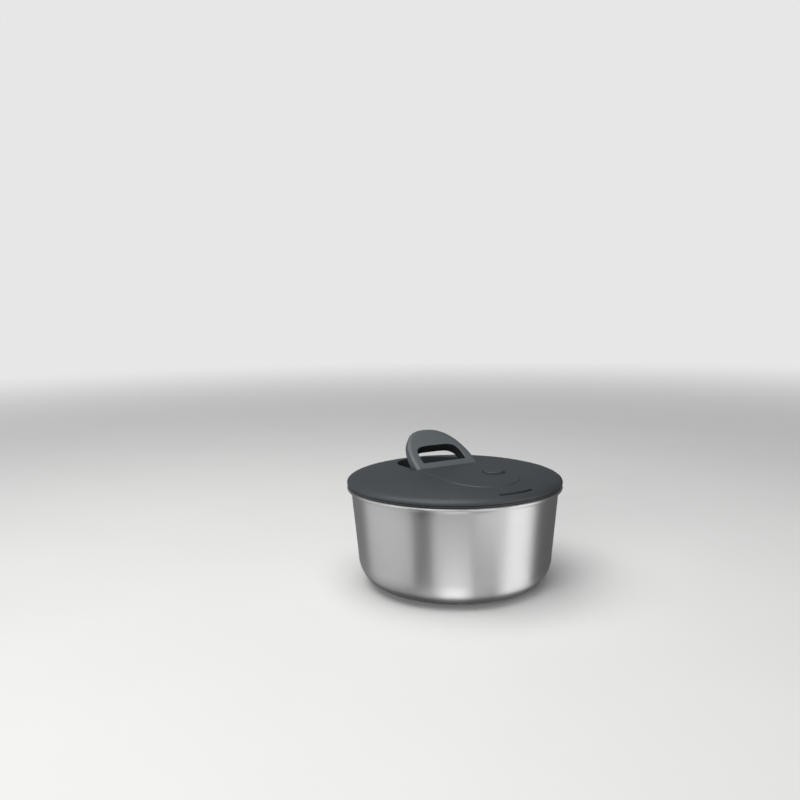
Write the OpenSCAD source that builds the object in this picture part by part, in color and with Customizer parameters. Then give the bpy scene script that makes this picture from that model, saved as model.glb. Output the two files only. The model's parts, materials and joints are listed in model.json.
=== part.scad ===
// Pull-cord salad spinner: steel bowl, perforated basket, lid with a geared cord drive and a brake.
// Millimetres. +Z is up, the origin is under the bowl's centre, the front of the lid is at -Y.

/* [Bowl] */
// Outer radius of the rolled rim
rim_r = 106; // [100:0.5:110]
// Height of the steel bowl, from its base to the top of the rim
bowl_h = 97.1; // [90:0.1:110]
// Outer radius of the wall just under the rim
wall_top_r = 101.9; // [98:0.1:102]
// Outer radius of the wall where the round bottom corner starts
wall_low_r = 95.9; // [92:0.1:97]
// Radial size of the bottom corner
corner_w = 24.6; // [15:0.1:30]
// Height of the bottom corner
corner_h = 27.4; // [15:0.1:32]
// Thickness of the steel
steel_t = 0.8; // [0.6:0.1:1.2]
// Radius of the rolled bead
bead_r = 1.6; // [1.2:0.1:2]
// Height of the silicone foot ring
foot_h = 1.2; // [0.8:0.1:2]

/* [Lid] */
// Rise of the dome inside the crease
dome_rise = 6.4; // [5:0.1:7]
// Exponent of the dome: a large one gives a flat middle and a steep edge
dome_power = 4.76; // [3:0.01:6]
// Radius of the crease between the sloping edge and the dome
crease_r = 99; // [98:0.5:100]
// Wall thickness of the top cover
cover_t = 2.2; // [1.8:0.1:2.6]
// Half width of the raised tongue and of the handle's pocket
tongue_w = 37; // [36:0.5:38]
// Step from the dome up to the tongue
tongue_step = 0.8; // [0.6:0.1:2]
// Centre of the tongue's round front end, as a distance in front of the bowl's axis
tongue_end_y = 46; // [44:1:49]
// Centre of the pocket's round rear end, as a distance behind the bowl's axis
pocket_end_y = 39; // [36:1:41]
// Width of the drain slot
slot_w = 3; // [2:0.1:3.2]
// Angle that the drain slot spans
slot_angle = 22.6; // [10:0.2:30]
// Angle from the lid's front to the slot's middle, to the right
slot_turn = 2.8; // [0:0.1:10]

/* [Handle] */
// Angle of the handle above the horizontal
handle_lean = 33.4; // [25:0.1:40]
// Half width of the handle
handle_w = 35.6; // [32:0.1:36]
// Length of the handle from its lower edge to its tip
handle_l = 57.1; // [52:0.1:58]
// Exponent of the handle's outline
handle_power = 2.37; // [2.2:0.01:3.2]
// Thickness of the handle
handle_t = 10.3; // [9:0.1:10.6]
// Width of the rounding along the handle's outer edge
handle_round = 4.7; // [3:0.1:5]
// Drop of the handle's faces across that rounding
handle_crown = 2; // [1:0.1:3]
// Half width of the finger opening
grip_w = 24.8; // [22:0.1:27]
// Lower edge of the finger opening
grip_low = 8.4; // [8.3:0.1:10]
// Upper edge of the finger opening
grip_high = 32; // [28:0.1:34]
// Exponent of the finger opening's outline
grip_power = 4.4; // [3:0.1:5]

/* [Drive] */
// Gear module
gear_m = 1; // [1:1]
// Teeth on the spool gear
spool_teeth = 48; // [48:1:48]
// Teeth on the pinion
pinion_teeth = 16; // [16:1:16]
// Radius of the drum that the cord winds on
drum_r = 15; // [14.8:0.1:15.2]
// Diameter of the pull cord
cord_d = 1.8; // [1.5:0.1:2]
// Radius of the drive shaft
shaft_r = 4; // [4:0.1:4.2]
// Radial running clearance of every turning pair
running = 0.05; // [0.02:0.01:0.1]

/* [Basket] */
// Outer radius of the basket's wall at its top
basket_top_r = 92; // [92:0.5:92.5]
// Outer radius of the basket's wall above its round bottom corner
basket_low_r = 86; // [84:0.5:88]
// Wall thickness of the basket
basket_t = 2; // [1.6:0.1:2.2]
// Slots in each row round the wall
wall_slots = 36; // [24:2:40]
// Radius at the foot of the central vent cone
cone_low_r = 30; // [26:1:32]
// Radius at the top of the central vent cone
cone_top_r = 14; // [13:1:16]
// Height of the central vent cone above the basket's floor
cone_h = 40; // [30:1:44]

/* [Brake] */
// Radius of the brake button
button_r = 10.5; // [9:0.1:11]
// Offset of the button to the right of the lid's middle
button_x = 20; // [19:0.5:22]
// Distance of the button in front of the lid's middle
button_y = 39; // [37:0.5:41]

/* [Hidden] */
$fn = 96;
eps = 0.01;

// Heights of the lid are counted from the top of the bowl's rim.
rim_z = foot_h + bowl_h;
bowl_floor = foot_h + steel_t;
foot_in_r = wall_low_r - corner_w - 13;
foot_out_r = wall_low_r - corner_w - 1.5;

// Lid stack at its edge: seal, base flange, groove, cover lip.
flange_z = 1.2;
groove_z = 2.2;
lip_z = 3;
crease_z = 8.5;
lip_top = 3.8;
edge_power = 1.2;
flange_r = rim_r - 0.7;
spacer_r = 101.5;
seal_r = [99.4, 100.6, 105];
seal_lip = 3;
seal_gap = 0.15;
skirt_r = 94.5;
skirt_t = 2;
floor_top = -10;
floor_low = -12;
slot_mid_r = 97;
bearing_r = 6;
bearing_drop = 2;
boss_r = 5;
boss_top = floor_top + 3.5;
screw_r = 1.4;
screw_top = 3;
head_r = 2.9;
head_low = floor_low + 0.4;
head_top = floor_low + 2.3;

// Handle pocket
chord_y = 9;
pocket_floor = 1.5;
pocket_t = 2;

// Handle pin, in the middle of the lower crossbar
pin_s = 3.17;
pin = [0, chord_y + 0.6 + handle_t / 2, 12.6];
lean_dir = [0, cos(handle_lean), sin(handle_lean)];
toggle_r = 2.4;
toggle_half = 11;
cord_gap = 3;

// Cord guide in the pocket's front wall, on the line of pull
eyelet_r = 4.4;
ring_r = 1.2;
eyelet_y = chord_y - pocket_t / 2;
eyelet_z = pin.z - (pin.y - eyelet_y) * tan(handle_lean);

// Gear train: the cord leaves the drum on the lid's middle plane
gear_r = gear_m * spool_teeth / 2;
pinion_r = gear_m * pinion_teeth / 2;
centre_dist = gear_r + pinion_r;
wind_r = drum_r + cord_d / 2;
spool_x = -wind_r;
spool_y = -sqrt(centre_dist * centre_dist - wind_r * wind_r);
mesh_angle = atan2(-spool_y, -spool_x);
pressure = 25;
backlash = 0.2;
gear_low = -9.6;
gear_top = -5;
axle_r = 3;
axle_top = 10;
arbor_r = 5;
drum_in_r = 12.8;
drum_top = 6.5;
cap_r = 18.5;
coil_z = [-4.2, 4.2];
cord_start = [0, spool_y + 7.9, 2.8];
cord_bend = [0, eyelet_y - 1.8, eyelet_z - 1.8 * tan(handle_lean)];

// One-way clutch on top of the pinion
cup_z = [-4.7, -3.7, -1.1];
cup_r = 12.5;
ratchet_teeth = 12;

// Height of the clip and of its groove in the drive shaft
clip_z = [-1, -0.4];

// Drive plate and the basket's rim
plate_top = -15;
plate_low = -17.5;
plate_r = 88.5;
plate_skirt = -22;
hub_low = plate_low - 2.5;
hub_r = 9;
window_r = 9;
window_at = 62;
lug_count = 4;
lug_w = 8;
basket_top = rim_z - 19.8;
basket_floor = 10;
basket_corner_w = 18;
basket_corner_h = 16;
rim_flange_r = 95;
stud_r = 5;
stud_top = 16;
stud_foot_r = 14;
stud_foot_t = 2;
bush_r = 8;
bush_low = 5;

// Brake
button_top = 17.4;
button_flange = [10.6, 12];
button_rim = 1.5;
spring_r = 4.7;
spring_wire = 0.45;
stem_r = 3;
stem_low = -10;
pad_low = -12.3;

screw_spots = [for (a = [45:90:315]) [80.5 * cos(a), 80.5 * sin(a)]];

black = "#2b2e30";
lid_grey = "#4b5154";
handle_grey = "#565d60";
clear_white = "#dfe3e4";

// Height of the dome's outer surface at radius r
function dome_z(r) = crease_z + dome_rise * (1 - pow(min(r, crease_r) / crease_r, dome_power));

// Points of the dome's curve from the axis out to the crease
function dome_points(lift) = [for (i = [0:16]) let (r = crease_r * sin(90 * i / 16)) [r, dome_z(r) + lift]];

// Points of the cover's sloping edge, from the crease down to the lip
function edge_points() = [for (t = [0.3, 0.55, 0.75, 0.9, 1])
    [crease_r + (rim_r - crease_r) * t, lip_top + (crease_z - lip_top) * sqrt(1 - pow(t, edge_power))]];

// Quarter of an ellipse: centre, half axes, start and end angle
function arc(c, rx, ry, from, to, steps) =
    [for (i = [0:steps]) let (a = from + (to - from) * i / steps) [c.x + rx * cos(a), c.y + ry * sin(a)]];

// Upper half of a superellipse: half width, height, exponent, height of its flat side
function super_arch(w, h, power, low, steps) =
    [for (i = [0:steps]) let (a = 180 * i / steps)
        [w * sign(cos(a)) * pow(abs(cos(a)), 2 / power), low + (h - low) * pow(sin(a), 2 / power)]];

// Involute of a gear flank, in degrees, at radius r over base radius rb
function involute(r, rb) = let (k = max(r / rb, 1)) sqrt(k * k - 1) * 180 / PI - acos(1 / k);

// Outline of a spur gear with a tooth centred on +X
function gear_points(teeth) =
    let (rp = gear_m * teeth / 2, rb = rp * cos(pressure), ra = rp + gear_m, rf = rp - 1.3 * gear_m,
        low = max(rb, rf), half = 90 / teeth - backlash / rp * 45 / PI + involute(rp, rb))
    [for (t = [0:teeth - 1]) each
        concat(
            [let (a = 360 * t / teeth - half) rf * [cos(a), sin(a)]],
            [for (i = [0:4]) let (r = low + (ra - low) * i / 4, a = 360 * t / teeth - half + involute(r, rb))
                r * [cos(a), sin(a)]],
            [for (i = [4:-1:0])
                let (r = low + (ra - low) * i / 4, a = 360 * t / teeth + half - involute(r, rb))
                r * [cos(a), sin(a)]],
            [let (a = 360 * t / teeth + half) rf * [cos(a), sin(a)]]
        )];

// Moves children so that their z = 0 is the top of the bowl's rim
module at_rim() { translate([0, 0, rim_z]) children(); }

// Cylinder from z range [low, high]
module disc(r, z, at = [0, 0]) { translate([at.x, at.y, z[0]]) cylinder(r = r, h = z[1] - z[0]); }

// Ring between two radii and two heights
module ring(r_in, r_out, z) {
    difference() {
        disc(r_out, z);
        disc(r_in, [z[0] - 1, z[1] + 1]);
    }
}

// A rod with round ends between two points
module rod(a, b, r) {
    d = b - a;
    translate(a) rotate([0, acos(d.z / norm(d)), atan2(d.y, d.x)]) cylinder(r = r, h = norm(d), $fn = 24);
}

// ---------------------------------------------------------------- bowl

module bowl() {
    corner = [wall_low_r - corner_w, foot_h + corner_h];
    bead = [rim_r - bead_r, rim_z - bead_r];
    flare_z = bead.y - bead_r - 1.5;
    color("silver") rotate_extrude($fn = 180) union() {
        polygon(concat(
            [[0, foot_h]],
            arc(corner, corner_w, corner_h, 270, 360, 14),
            [[wall_top_r, flare_z], [wall_top_r + 0.5, bead.y - bead_r], [bead.x, bead.y - bead_r],
                [bead.x, bead.y], [bead.x - bead_r, bead.y], [wall_top_r - steel_t, flare_z]],
            arc(corner, corner_w - steel_t, corner_h - steel_t, 360, 270, 14),
            [[0, bowl_floor]]
        ));
        translate(bead) circle(bead_r, $fn = 32);
    }
}

module foot_ring() {
    color(black) ring(foot_in_r, foot_out_r, [0, foot_h]);
}

module pivot_stud() {
    color(black) {
        disc(stud_foot_r, [bowl_floor, bowl_floor + stud_foot_t]);
        disc(stud_r, [bowl_floor + stud_foot_t - eps, stud_top]);
    }
}

// ---------------------------------------------------------------- basket

// Outer outline of the basket's wall and floor, grown inward by t
function basket_curve(t) =
    let (c = [basket_low_r - basket_corner_w, basket_floor + basket_corner_h])
    concat([[0, basket_floor + t]], arc(c, basket_corner_w - t, basket_corner_h - t, 270, 360, 8),
        [[basket_top_r - t, basket_top]]);

function reversed(list) = [for (i = [len(list) - 1:-1:0]) list[i]];

// Upright slots all round, between two heights
module slot_row(z, count, turn) {
    for (i = [0:count / 2 - 1]) rotate(360 * i / count + turn)
        translate([-basket_top_r - 5, -1.5, z[0]]) cube([2 * basket_top_r + 10, 3, z[1] - z[0]]);
}

module basket_shell() {
    rotate_extrude($fn = 144) union() {
        polygon(concat(basket_curve(0), reversed(basket_curve(basket_t))));
        translate([basket_top_r - basket_t, basket_top - 2])
            square([rim_flange_r - basket_top_r + basket_t, 2]);
    }
}

module vent_cone() {
    top = basket_floor + cone_h;
    rotate_extrude($fn = 96) polygon([
        [cone_low_r, basket_floor], [cone_top_r, top - 3], [cone_top_r - 3, top], [0, top],
        [0, top - basket_t], [cone_top_r - 3.8, top - basket_t], [cone_top_r - basket_t - 0.2, top - 3.8],
        [cone_low_r - 2.2, basket_floor]
    ]);
}

module basket() {
    color(clear_white) {
        difference() {
            basket_shell();
            difference() {
                union() {
                    slot_row([30, 49], wall_slots, 0);
                    slot_row([54, 71], wall_slots, 180 / wall_slots);
                }
                disc(basket_low_r - 8, [0, basket_top]);
            }
            disc(cone_low_r - 1, [0, basket_floor + 5]);
            for (i = [0:wall_slots / 2 - 1]) rotate(720 * i / wall_slots)
                translate([cone_low_r + 6, -1.5, 0]) cube([30, 3, basket_floor + 4]);
            for (i = [0:lug_count - 1]) rotate(360 * i / lug_count + 45)
                translate([basket_top_r - 8, -lug_w / 2 - 0.5, basket_top - 4.5]) cube([16, lug_w + 1, 10]);
        }
        difference() {
            vent_cone();
            for (i = [0:5]) rotate(30 * i)
                translate([-40, -1.25, basket_floor + 6]) cube([80, 2.5, cone_h - 14]);
        }
        difference() {
            union() {
                disc(bush_r + 3, [bush_low, stud_top + 4]);
                for (a = [0, 90]) rotate(a + 15) translate([-cone_low_r + 0.5, -2, basket_floor])
                    cube([2 * cone_low_r - 1, 4, 2.5]);
            }
            disc(bush_r, [0, stud_top + 2]);
        }
    }
}

module pivot_bush() {
    color("gray") difference() {
        disc(bush_r, [bush_low, stud_top + 2]);
        disc(stud_r + running, [0, stud_top + running]);
    }
}

// ---------------------------------------------------------------- lid shells

// The drain slot through the cover and through the base's flange
module drain_slot(z) {
    translate([0, 0, z[0]]) rotate(slot_turn - 90 - slot_angle / 2) rotate_extrude(angle = slot_angle)
        translate([slot_mid_r - slot_w / 2, 0]) square([slot_w, z[1] - z[0]]);
}

module lid_base() {
    color(lid_grey) at_rim() difference() {
        union() {
            disc(skirt_r, [floor_low, floor_top]);
            ring(skirt_r - skirt_t, skirt_r, [floor_low, groove_z]);
            ring(skirt_r - skirt_t, flange_r, [flange_z, groove_z]);
            ring(crease_r + 0.2, spacer_r, [flange_z, lip_z]);
            disc(bearing_r + 2.5, [floor_low - bearing_drop, floor_top]);
            disc(axle_r + 3, [floor_low, floor_top + 0.2], [spool_x, spool_y]);
            disc(stem_r + 3, [floor_low, floor_top + 2], [button_x, -button_y]);
            for (p = screw_spots) disc(boss_r, [floor_low, boss_top], p);
        }
        disc(bearing_r, [floor_low - 3, floor_top + 1]);
        disc(axle_r, [floor_low - 1, floor_top + 1], [spool_x, spool_y]);
        disc(stem_r + 0.1, [floor_low - 1, floor_top + 3], [button_x, -button_y]);
        for (p = screw_spots) {
            disc(head_r + 0.4, [floor_low - 1, head_top], p);
            disc(screw_r + 0.3, [floor_low, floor_top + 5], p);
        }
        drain_slot([0, lip_z + 1]);
    }
}

module lid_seal() {
    color(black) at_rim() rotate_extrude($fn = 180) polygon([
        [seal_r[0], -seal_lip], [seal_r[1] - 0.2, -seal_lip],
        [seal_r[1], seal_gap], [seal_r[2] - 0.2, seal_gap],
        [seal_r[2], seal_gap + 0.3], [seal_r[2], flange_z], [seal_r[0], flange_z]
    ]);
}

// Outline of the handle's pocket: straight front, half-round rear
module pocket_outline(grow) {
    r = tongue_w + grow;
    intersection() {
        union() {
            translate([0, pocket_end_y]) circle(r);
            translate([-r, 0]) square([2 * r, pocket_end_y]);
        }
        translate([-r, chord_y - grow]) square([2 * r, pocket_end_y + r]);
    }
}

// Solid under the cover's outer surface, tongue included
module cover_outer() {
    rotate_extrude($fn = 180) polygon(concat(
        [[0, lip_z]],
        reversed(concat(dome_points(0), edge_points(), [[rim_r, lip_z]]))
    ));
    intersection() {
        rotate_extrude() polygon(concat([[0, lip_z]], reversed(dome_points(tongue_step)), [[0, lip_z]]));
        translate([0, 0, lip_z]) linear_extrude(20) union() {
            translate([0, -tongue_end_y]) circle(tongue_w);
            translate([-tongue_w, -tongue_end_y]) square([2 * tongue_w, tongue_end_y + chord_y]);
        }
    }
}

module cover_hollow() {
    rotate_extrude() polygon(concat([[0, 0], [crease_r, 0]], reversed(dome_points(-cover_t))));
}

module top_cover() {
    color(lid_grey) at_rim() difference() {
        union() {
            difference() {
                cover_outer();
                cover_hollow();
            }
            intersection() {
                union() {
                    cover_outer();
                    disc(crease_r, [floor_top, lip_z]);
                }
                union() {
                    translate([0, 0, pocket_floor - pocket_t]) linear_extrude(20) pocket_outline(pocket_t);
                    for (p = screw_spots) disc(boss_r - 1.5, [boss_top, dome_z(80)], p);
                    disc(axle_r + 3, [drum_top + 1.8, dome_z(0)], [spool_x, spool_y]);
                }
            }
        }
        translate([0, 0, pocket_floor]) linear_extrude(30) pocket_outline(0);
        disc(button_r + 0.3, [0, 30], [button_x, -button_y]);
        disc(axle_r, [0, axle_top + 0.2], [spool_x, spool_y]);
        for (p = screw_spots) disc(screw_r, [boss_top - 1, screw_top + 0.2], p);
        drain_slot([lip_z - 1, 20]);
        translate([0, eyelet_y, eyelet_z]) rotate([90, 0, 0]) cylinder(r = eyelet_r, h = 8, center = true);
    }
}

module lid_screws() {
    color("silver") at_rim() for (p = screw_spots) {
        disc(head_r, [head_low, head_top], p);
        disc(screw_r, [head_top - eps, screw_top], p);
    }
}

module cord_eyelet() {
    color("silver") translate([0, eyelet_y, rim_z + eyelet_z]) rotate([90, 0, 0]) rotate_extrude() union() {
        translate([eyelet_r - ring_r, 0]) circle(ring_r, $fn = 24);
        translate([eyelet_r - ring_r, -ring_r]) square([ring_r, 2 * ring_r]);
    }
}

// ---------------------------------------------------------------- handle and cord

// Children drawn in the handle's own plane, with the pin as origin and +Y up the handle
module at_handle() { translate([pin.x, pin.y, rim_z + pin.z]) rotate([handle_lean, 0, 0]) children(); }

module across(r, half) { rotate([0, 90, 0]) cylinder(r = r, h = 2 * half, center = true); }

module handle_channel() {
    translate([-toggle_half - 0.3, -toggle_r - running, -handle_t / 2 - 1])
        cube([2 * toggle_half + 0.6, 2 * (toggle_r + running), handle_t / 2 + 1]);
}

// Room for the cord to swing while the handle folds
module cord_swing() {
    translate([-cord_gap / 2, -handle_t, -handle_t]) cube([cord_gap, handle_t, 2 * handle_t]);
}

// The handle's outline above the pin, this far inside its edge, as a flat layer
module handle_layer(inset, thick) {
    translate([0, 0, -thick / 2]) linear_extrude(thick) intersection() {
        offset(delta = -inset) polygon(concat(
            [[handle_w, -handle_l]],
            [for (p = super_arch(handle_w, handle_l, handle_power, 0, 44)) p - [0, pin_s]],
            [[-handle_w, -handle_l]]
        ));
        translate([-handle_w, 0]) square([2 * handle_w, handle_l]);
    }
}

module pull_handle() {
    side_r = handle_t / 2 - handle_crown;
    color(handle_grey) at_handle() difference() {
        union() {
            hull() {
                handle_layer(0, handle_t - 2 * handle_crown);
                handle_layer(0.3 * handle_round, handle_t - 0.7 * handle_crown);
                handle_layer(handle_round, handle_t);
            }
            rotate([0, 90, 0]) rotate_extrude() polygon([
                [0, -handle_w], [side_r, -handle_w], [handle_t / 2, handle_round - handle_w],
                [handle_t / 2, handle_w - handle_round], [side_r, handle_w], [0, handle_w]
            ]);
        }
        translate([0, -pin_s, -handle_t]) linear_extrude(2 * handle_t)
            polygon(super_arch(grip_w, grip_high, grip_power, grip_low, 48));
        across(toggle_r + running, toggle_half + 0.3);
        handle_channel();
        cord_swing();
    }
}

module handle_cap() {
    color(handle_grey) at_handle() difference() {
        intersection() {
            handle_channel();
            across(handle_t / 2, handle_w);
        }
        across(toggle_r + running, toggle_half + 1);
        cord_swing();
    }
}

module cord_toggle() {
    color("silver") at_handle() across(toggle_r, toggle_half);
}

module pull_cord() {
    end = pin - lean_dir * (toggle_r + 0.1);
    color(black) at_rim() {
        rod(cord_start, cord_bend, cord_d / 2);
        translate(cord_bend) sphere(cord_d / 2 + 0.05, $fn = 24);
        rod(cord_bend, end, cord_d / 2);
    }
}

// ---------------------------------------------------------------- spool

module at_spool() { translate([spool_x, spool_y, rim_z]) children(); }

module cord_spool() {
    color("ivory") at_spool() difference() {
        union() {
            translate([0, 0, gear_low]) rotate(mesh_angle) linear_extrude(gear_top - gear_low)
                polygon(gear_points(spool_teeth));
            disc(drum_r, [gear_top - eps, drum_top]);
        }
        disc(axle_r + running, [gear_low - 1, gear_top + 1]);
        disc(drum_in_r, [gear_top, drum_top + 1]);
    }
}

module spool_cap() {
    color("ivory") at_spool() ring(arbor_r + 0.3, cap_r, [drum_top, drum_top + 1]);
}

module cord_coil() {
    color(black) at_spool() ring(drum_r, drum_r + cord_d, coil_z);
}

// Flat spiral: inner and outer radius, thickness and number of turns
function spiral(r_in, r_out, turns) =
    [for (i = [0:24 * turns])
        let (a = 15 * i, r = r_in + (r_out - r_in) * i / (24 * turns))
        r * [cos(a), sin(a)]];

module recoil_spring() {
    thick = 0.5;
    turns = 5;
    inner = arbor_r + 0.4;
    outer = drum_in_r - 0.3;
    color("slategray") at_spool() translate([0, 0, gear_top + 0.6]) linear_extrude(9)
        polygon(concat(spiral(inner, outer - thick, turns), reversed(spiral(inner + thick, outer, turns))));
}

module spool_axle() {
    color("silver") at_spool() disc(axle_r, [floor_low, axle_top]);
}

module spring_arbor() {
    color("ivory") at_spool() ring(axle_r, arbor_r, [gear_top + 0.2, drum_top + 1.6]);
}

// ---------------------------------------------------------------- output drive

// Internal ratchet outline: each tooth ramps out and drops back
function ratchet_points(r_in, r_out) =
    [for (t = [0:ratchet_teeth - 1]) each
        [let (a = 360 * t / ratchet_teeth) r_in * [cos(a), sin(a)],
            let (a = 360 * (t + 0.9) / ratchet_teeth) r_out * [cos(a), sin(a)]]];

module drive_pinion() {
    color("ivory") at_rim() difference() {
        union() {
            translate([0, 0, gear_low]) rotate(mesh_angle + 180 - 180 / pinion_teeth)
                linear_extrude(cup_z[0] - gear_low + eps) polygon(gear_points(pinion_teeth));
            disc(cup_r, [cup_z[0], cup_z[2]]);
        }
        disc(shaft_r + running, [gear_low - 1, 0]);
        translate([0, 0, cup_z[1]]) linear_extrude(5) polygon(ratchet_points(9.8, 11));
    }
}

module pawl_carrier() {
    color("darkorange") at_rim() difference() {
        translate([0, 0, cup_z[1] + 0.1]) linear_extrude(cup_z[2] - cup_z[1] - 0.2) union() {
            circle(6);
            for (a = [0, 180]) rotate(a)
                polygon([[3, -5.5], [8.4, -4.3], [10.45, -1], [9.6, -0.6], [7.6, -3], [4, -3]]);
        }
        disc(shaft_r, [-6, 0]);
    }
}

module drive_shaft() {
    color("silver") at_rim() difference() {
        disc(shaft_r, [hub_low, 1]);
        ring(shaft_r - 0.8, shaft_r + 1, clip_z);
    }
}

module shaft_clip() {
    color("slategray") at_rim() difference() {
        disc(6, clip_z);
        disc(shaft_r - 0.8, [-2, 0]);
        translate([-1.5, -8, -2]) cube([3, 8, 3]);
    }
}

module bearing_bush() {
    color("goldenrod") at_rim()
        ring(shaft_r + running, bearing_r, [floor_low - bearing_drop, floor_top + 0.2]);
}

module drive_plate() {
    color(clear_white) at_rim() difference() {
        union() {
            disc(plate_r, [plate_low, plate_top]);
            ring(plate_r - 2, plate_r, [plate_skirt, plate_low]);
            disc(hub_r, [hub_low, plate_top + 0.8]);
            for (i = [0:lug_count - 1]) rotate(360 * i / lug_count + 45)
                translate([plate_r - 1, -lug_w / 2, plate_skirt]) cube([4, lug_w, plate_top - plate_skirt]);
        }
        disc(shaft_r, [-30, 0]);
        for (i = [0:7]) rotate(45 * i + 22.5) disc(window_r, [-30, 0], [window_at, 0]);
    }
}

// ---------------------------------------------------------------- brake

module brake_button() {
    color(handle_grey) at_rim() translate([button_x, -button_y]) {
        rotate_extrude() polygon([
            [0, button_top], [6.5, button_top - 0.2],
            [button_r - 1.2, button_top - 0.9], [button_r, button_top - 2.1],
            [button_r, button_flange[1]], [button_r + button_rim, button_flange[1]],
            [button_r + button_rim, button_flange[0]],
            [0, button_flange[0]]
        ]);
        disc(stem_r, [stem_low, button_flange[0] + eps]);
    }
}

// Coil spring as a swept tube with six sides
module brake_spring() {
    low = floor_top + 2.5;
    high = button_flange[0] - 0.5;
    turns = 6;
    steps = 14 * turns;
    sides = 6;
    points = [for (i = [0:steps]) let (a = 360 * turns * i / steps)
        for (k = [0:sides - 1]) let (b = 360 * k / sides, r = spring_r + spring_wire * cos(b))
            [r * cos(a), r * sin(a), low + (high - low) * i / steps + spring_wire * sin(b)]];
    faces = concat(
        [[for (k = [0:sides - 1]) k]],
        [for (i = [0:steps - 1], k = [0:sides - 1]) let (n = (k + 1) % sides)
            [i * sides + k, (i + 1) * sides + k, (i + 1) * sides + n, i * sides + n]],
        [[for (k = [sides - 1:-1:0]) steps * sides + k]]
    );
    color("silver") at_rim() translate([button_x, -button_y]) polyhedron(points, faces, convexity = 10);
}

module brake_pad() {
    color(black) at_rim() disc(stem_r, [pad_low, stem_low], [button_x, -button_y]);
}

bowl();
foot_ring();
pivot_stud();
basket();
pivot_bush();
lid_base();
lid_seal();
top_cover();
lid_screws();
cord_eyelet();
pull_handle();
handle_cap();
cord_toggle();
pull_cord();
cord_spool();
spool_cap();
cord_coil();
recoil_spring();
spool_axle();
spring_arbor();
drive_pinion();
pawl_carrier();
drive_shaft();
shaft_clip();
bearing_bush();
drive_plate();
brake_button();
brake_spring();
brake_pad();
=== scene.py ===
"""Looks of the pull-cord salad spinner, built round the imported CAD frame."""
import json
import math

import bpy
import numpy as np
from mathutils import Matrix, Quaternion, Vector
from mathutils.geometry import delaunay_2d_cdt
from mathutils.kdtree import KDTree


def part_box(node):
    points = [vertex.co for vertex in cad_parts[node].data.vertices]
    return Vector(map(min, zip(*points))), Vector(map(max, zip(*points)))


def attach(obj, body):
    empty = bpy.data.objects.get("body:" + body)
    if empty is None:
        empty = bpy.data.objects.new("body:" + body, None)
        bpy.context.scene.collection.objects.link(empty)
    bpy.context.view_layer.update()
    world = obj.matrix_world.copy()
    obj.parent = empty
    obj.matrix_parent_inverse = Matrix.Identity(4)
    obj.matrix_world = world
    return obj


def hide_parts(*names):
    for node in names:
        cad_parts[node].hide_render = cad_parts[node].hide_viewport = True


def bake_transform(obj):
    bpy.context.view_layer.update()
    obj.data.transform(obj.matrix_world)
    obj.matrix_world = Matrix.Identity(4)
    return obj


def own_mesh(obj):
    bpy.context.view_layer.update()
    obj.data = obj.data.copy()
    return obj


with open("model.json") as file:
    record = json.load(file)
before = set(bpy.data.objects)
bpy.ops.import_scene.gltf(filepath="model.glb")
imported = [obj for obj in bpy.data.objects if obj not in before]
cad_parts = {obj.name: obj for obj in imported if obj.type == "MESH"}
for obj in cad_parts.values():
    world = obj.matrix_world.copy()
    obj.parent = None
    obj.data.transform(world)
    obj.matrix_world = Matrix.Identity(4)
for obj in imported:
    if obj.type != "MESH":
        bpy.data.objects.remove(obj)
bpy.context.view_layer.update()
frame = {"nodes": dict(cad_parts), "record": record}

MM = 0.001
scene = bpy.context.scene


# ---------------------------------------------------------------- sizes, in millimetres

def size_mm(node_name):
    """Lowest and highest corner of a CAD node."""
    return [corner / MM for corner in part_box(node_name)]


def joint(name):
    return next(j for j in frame["record"]["behaviour"]["joints"] if j["name"] == name)


RIM_Z = size_mm("bowl")[1].z
RIM_R = size_mm("bowl")[1].x
FOOT_H = size_mm("bowl")[0].z
PIN = Vector(joint("handle_fold")["pos_m"]) / MM
PULL = Vector(joint("handle_pull")["axis"])
BUTTON_TOP = size_mm("brake_button")[1].z
BUTTON = (size_mm("brake_button")[0] + size_mm("brake_button")[1]) / 2
EYELET = (size_mm("cord_eyelet")[0] + size_mm("cord_eyelet")[1]) / 2
SPOOL = Vector(joint("spool_spin")["pos_m"]) / MM

# Lid cover; heights from the bowl's rim
LIP_Z = 3                # underside of the cover's outer lip
LIP_H = 0.8              # upright face of the lip
EDGE_POWER = 1.2         # how full the sloping edge is
CREASE_R = 99            # where the dome meets the sloping edge
CREASE_Z = 8.5
DOME_RISE = 6.4
DOME_POWER = 4.76
COVER_T = 2.2
TONGUE_W = 37            # half the tongue's width
TONGUE_END_Y = -46       # centre of its round end
TONGUE_STEP = 0.8        # how far it stands proud
STEP_W = 4.2             # width of the step's rounded shoulder
RISER_W = 0.8            # width of the step's steep foot
RISER_SHARE = 0.6        # the foot's share of the step's height
CHORD_Y = 9              # front wall of the handle's pocket
POCKET_END_Y = 39        # centre of its round end
POCKET_FLOOR = 1.5
POCKET_T = 2
POCKET_EDGE = 0.9
POCKET_CORNER = 3.4
DRAFT = 0.4              # how far the steep walls lean
FLOOR_FILLET = 2.5
BUTTON_HOLE_R = 10.8
SLOT_R = 97              # drain slot
SLOT_HALF_W = 1.5
SLOT_HALF_ANGLE = 11.3
SLOT_TURN = 2.8          # how far the slot's middle is turned from straight ahead

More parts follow.
